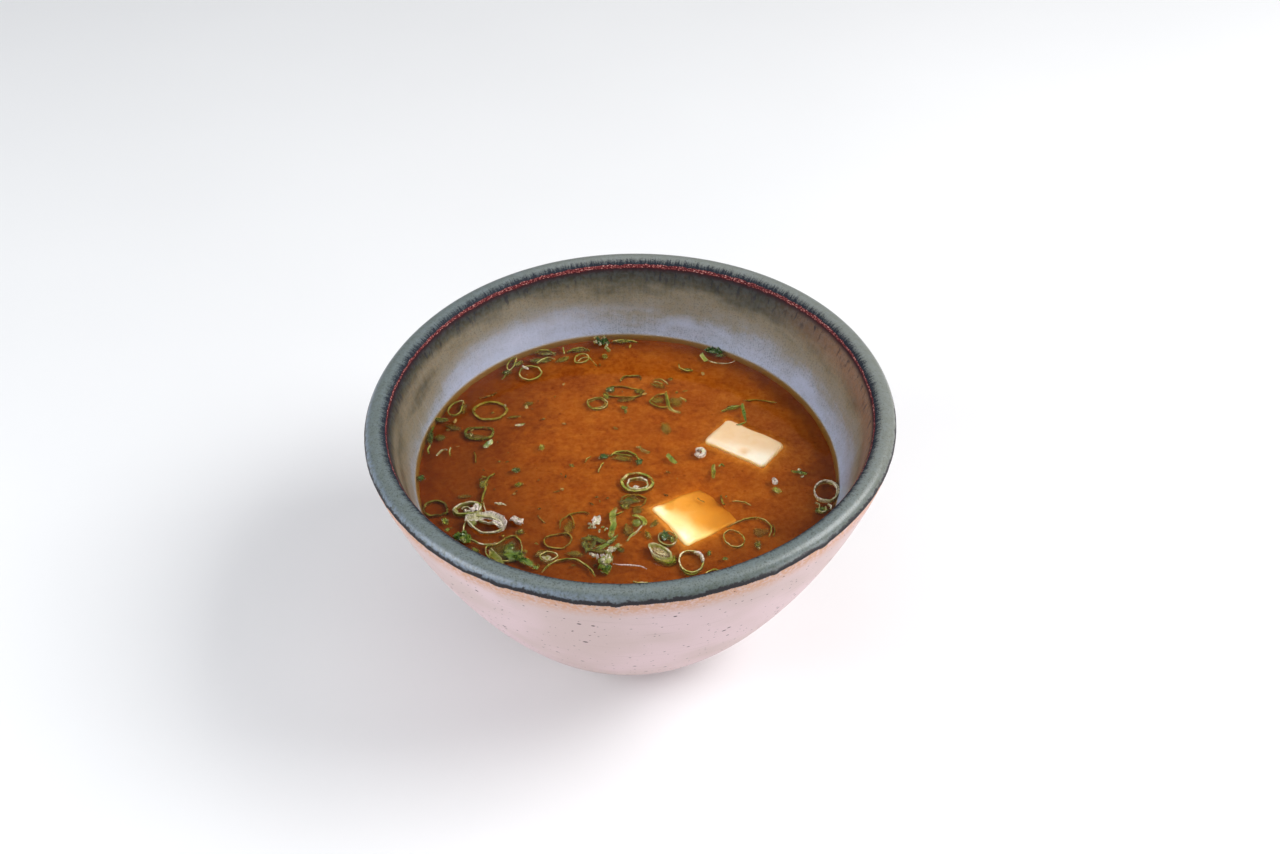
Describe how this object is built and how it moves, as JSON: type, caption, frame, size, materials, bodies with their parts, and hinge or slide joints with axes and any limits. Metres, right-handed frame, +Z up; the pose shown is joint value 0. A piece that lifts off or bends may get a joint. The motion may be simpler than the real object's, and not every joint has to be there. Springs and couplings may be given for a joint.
{
  "type": "miso soup",
  "caption": "Hand-thrown stoneware bowl with a grey-green glazed rim and bare speckled clay outside, full of cloudy miso soup with tofu cubes and scallion rings.",
  "frame": {"origin": "centre of the bowl's foot, on the table", "axes": "+Z up out of the bowl's mouth; -Y towards the person who eats from it; +X is the side where the rim stands highest"},
  "size_m": [0.13, 0.1299, 0.0728],
  "materials": {
    "glazed_stoneware": "satin",
    "miso_broth": "gloss",
    "tofu": "satin",
    "scallion": "satin"
  },
  "bodies": {
    "root": {"bowl": "glazed_stoneware", "soup": "miso_broth", "tofu_back": "tofu", "tofu_front": "tofu", "scallion_ring_left": "scallion", "scallion_ring_left_small": "scallion", "scallion_ring_centre": "scallion", "scallion_ring_front": "scallion", "scallion_ring_front_right": "scallion", "scallion_ring_right": "scallion"}
  },
  "joints": []
}
